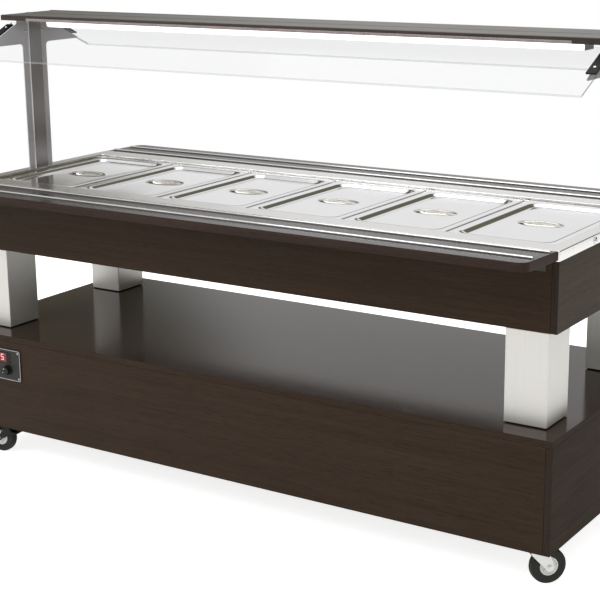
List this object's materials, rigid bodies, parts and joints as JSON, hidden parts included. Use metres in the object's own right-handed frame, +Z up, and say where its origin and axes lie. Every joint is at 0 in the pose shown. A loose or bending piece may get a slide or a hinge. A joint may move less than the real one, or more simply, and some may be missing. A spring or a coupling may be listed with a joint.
{
  "type": "heated buffet steam table",
  "caption": "Wheeled heated buffet with lidded food pans in a steam well, folding tray slides and a lit canopy with sloped glass screens.",
  "frame": {"origin": "centre of the footprint on the floor", "axes": "+X along the length to the right, -Y towards the customer side with the controls, +Z up"},
  "size_m": [2.1153, 1.0116, 1.4035],
  "materials": {
    "wenge_panel": "dark wenge laminate, satin, fine linear grain",
    "wenge_roof": "dark wenge laminate, satin",
    "wenge_slide": "dark wenge laminate, glossy top",
    "tray_strip": "bright half-round strip",
    "pillar_steel": "vertical brushed stainless",
    "deck_steel": "bright stainless sheet",
    "pan_steel": "polished stainless",
    "lid_steel": "mirror-polished stainless",
    "upright_steel": "brushed stainless",
    "hinge_steel": "plain stainless",
    "screen_glass": "clear toughened glass, ground edges",
    "lamp_diffuser": "white diffuser",
    "caster_zinc": "zinc-plated pressed steel",
    "caster_tyre": "black rubber",
    "brake_plastic": "black moulded plastic",
    "control_plate": "dark grey plate with bright bezel",
    "display_window": "dark window with red digits",
    "black_plastic": "black moulded plastic",
    "valve_brass": "cast brass",
    "element_steel": "tubular element sheath"
  },
  "bodies": {
    "cart": {"base_front_panel": "wenge_panel", "base_rear_panel": "wenge_panel", "base_left_panel": "wenge_panel", "base_right_panel": "wenge_panel", "base_top_board": "wenge_panel", "base_floor_board": "wenge_panel", "front_left_pillar": "pillar_steel", "front_right_pillar": "pillar_steel", "rear_left_pillar": "pillar_steel", "rear_right_pillar": "pillar_steel", "box_front_panel": "wenge_panel", "box_rear_panel": "wenge_panel", "box_left_panel": "wenge_panel", "box_right_panel": "wenge_panel", "box_floor_board": "wenge_panel", "well_tank": "deck_steel", "heating_element": "element_steel", "drain_valve": "valve_brass", "front_slide_hinge": "hinge_steel", "rear_slide_hinge": "hinge_steel", "left_upright": "upright_steel", "right_upright": "upright_steel", "roof_board": "wenge_roof", "lamp": "lamp_diffuser", "front_glass": "screen_glass", "rear_glass": "screen_glass", "control_box": "control_plate", "temperature_display": "display_window", "cable_gland": "black_plastic"},
    "front_slide": {"front_slide_board": "wenge_slide", "front_slide_inner_strip": "tray_strip", "front_slide_outer_strip": "tray_strip"},
    "rear_slide": {"rear_slide_board": "wenge_slide", "rear_slide_inner_strip": "tray_strip", "rear_slide_outer_strip": "tray_strip"},
    "pan_1": {"pan_1": "pan_steel"},
    "lid_1": {"lid_1": "lid_steel"},
    "pan_2": {"pan_2": "pan_steel"},
    "lid_2": {"lid_2": "lid_steel"},
    "pan_3": {"pan_3": "pan_steel"},
    "lid_3": {"lid_3": "lid_steel"},
    "pan_4": {"pan_4": "pan_steel"},
    "lid_4": {"lid_4": "lid_steel"},
    "pan_5": {"pan_5": "pan_steel"},
    "lid_5": {"lid_5": "lid_steel"},
    "pan_6": {"pan_6": "pan_steel"},
    "lid_6": {"lid_6": "lid_steel"},
    "front_left_caster": {"front_left_fork": "caster_zinc"},
    "front_left_wheel": {"front_left_wheel": "caster_tyre"},
    "front_left_brake": {"front_left_brake_pedal": "brake_plastic"},
    "front_right_caster": {"front_right_fork": "caster_zinc"},
    "front_right_wheel": {"front_right_wheel": "caster_tyre"},
    "rear_left_caster": {"rear_left_fork": "caster_zinc"},
    "rear_left_wheel": {"rear_left_wheel": "caster_tyre"},
    "rear_left_brake": {"rear_left_brake_pedal": "brake_plastic"},
    "rear_right_caster": {"rear_right_fork": "caster_zinc"},
    "rear_right_wheel": {"rear_right_wheel": "caster_tyre"},
    "thermostat_knob": {"thermostat_knob": "black_plastic"},
    "power_switch": {"power_switch": "black_plastic"},
    "drain_lever": {"drain_lever": "black_plastic"}
  },
  "joints": [
    {"name": "front_slide_fold", "type": "hinge", "parent": "cart", "child": "front_slide", "pos_m": [0, -0.3472, 0.8655], "axis": [1, 0, 0], "range_deg": [0, 90]},
    {"name": "rear_slide_fold", "type": "hinge", "parent": "cart", "child": "rear_slide", "pos_m": [0, 0.3472, 0.8655], "axis": [-1, 0, 0], "range_deg": [0, 90]},
    {"name": "pan_1_lift", "type": "slide", "parent": "cart", "child": "pan_1", "axis": [0, 0, 1], "range_m": [0, 0.13]},
    {"name": "lid_1_lift", "type": "slide", "parent": "pan_1", "child": "lid_1", "axis": [0, 0, 1], "range_m": [0, 0.15]},
    {"name": "pan_2_lift", "type": "slide", "parent": "cart", "child": "pan_2", "axis": [0, 0, 1], "range_m": [0, 0.13]},
    {"name": "lid_2_lift", "type": "slide", "parent": "pan_2", "child": "lid_2", "axis": [0, 0, 1], "range_m": [0, 0.15]},
    {"name": "pan_3_lift", "type": "slide", "parent": "cart", "child": "pan_3", "axis": [0, 0, 1], "range_m": [0, 0.13]},
    {"name": "lid_3_lift", "type": "slide", "parent": "pan_3", "child": "lid_3", "axis": [0, 0, 1], "range_m": [0, 0.15]},
    {"name": "pan_4_lift", "type": "slide", "parent": "cart", "child": "pan_4", "axis": [0, 0, 1], "range_m": [0, 0.13]},
    {"name": "lid_4_lift", "type": "slide", "parent": "pan_4", "child": "lid_4", "axis": [0, 0, 1], "range_m": [0, 0.15]},
    {"name": "pan_5_lift", "type": "slide", "parent": "cart", "child": "pan_5", "axis": [0, 0, 1], "range_m": [0, 0.13]},
    {"name": "lid_5_lift", "type": "slide", "parent": "pan_5", "child": "lid_5", "axis": [0, 0, 1], "range_m": [0, 0.15]},
    {"name": "pan_6_lift", "type": "slide", "parent": "cart", "child": "pan_6", "axis": [0, 0, 1], "range_m": [0, 0.13]},
    {"name": "lid_6_lift", "type": "slide", "parent": "pan_6", "child": "lid_6", "axis": [0, 0, 1], "range_m": [0, 0.15]},
    {"name": "front_left_swivel", "type": "hinge", "parent": "cart", "child": "front_left_caster", "pos_m": [-0.955, -0.372, 0.1277], "axis": [0, 0, 1], "continuous": true},
    {"name": "front_left_wheel_spin", "type": "hinge", "parent": "front_left_caster", "child": "front_left_wheel", "pos_m": [-0.92034, -0.36713, 0.05], "axis": [-0.1392, 0.9903, 0], "continuous": true},
    {"name": "front_left_brake_press", "type": "hinge", "parent": "front_left_caster", "child": "front_left_brake", "pos_m": [-0.92034, -0.36713, 0.05], "axis": [-0.1392, 0.9903, 0], "range_deg": [0, 14]},
    {"name": "front_right_swivel", "type": "hinge", "parent": "cart", "child": "front_right_caster", "pos_m": [0.997, -0.372, 0.1277], "axis": [0, 0, 1], "continuous": true},
    {"name": "front_right_wheel_spin", "type": "hinge", "parent": "front_right_caster", "child": "front_right_wheel", "pos_m": [1.02042, -0.34599, 0.05], "axis": [-0.7431, 0.6691, 0], "continuous": true},
    {"name": "rear_left_swivel", "type": "hinge", "parent": "cart", "child": "rear_left_caster", "pos_m": [-0.955, 0.372, 0.1277], "axis": [0, 0, 1], "continuous": true},
    {"name": "rear_left_wheel_spin", "type": "hinge", "parent": "rear_left_caster", "child": "rear_left_wheel", "pos_m": [-0.92211, 0.38397, 0.05], "axis": [-0.342, 0.9397, 0], "continuous": true},
    {"name": "rear_left_brake_press", "type": "hinge", "parent": "rear_left_caster", "child": "rear_left_brake", "pos_m": [-0.92211, 0.38397, 0.05], "axis": [-0.342, 0.9397, 0], "range_deg": [0, 14]},
    {"name": "rear_right_swivel", "type": "hinge", "parent": "cart", "child": "rear_right_caster", "pos_m": [0.997, 0.372, 0.1277], "axis": [0, 0, 1], "continuous": true},
    {"name": "rear_right_wheel_spin", "type": "hinge", "parent": "rear_right_caster", "child": "rear_right_wheel", "pos_m": [0.97692, 0.40067, 0.05], "axis": [-0.8191, -0.5736, 0], "continuous": true},
    {"name": "thermostat_turn", "type": "hinge", "parent": "cart", "child": "thermostat_knob", "pos_m": [-0.8255, -0.4183, 0.307], "axis": [0, -1, 0], "range_deg": [0, 270]},
    {"name": "power_rock", "type": "hinge", "parent": "cart", "child": "power_switch", "pos_m": [-0.925, -0.4158, 0.307], "axis": [1, 0, 0], "range_deg": [-8, 8]},
    {"name": "drain_turn", "type": "hinge", "parent": "cart", "child": "drain_lever", "pos_m": [0.3, 0.1357, 0.669], "axis": [0, -1, 0], "range_deg": [0, 90]}
  ]
}
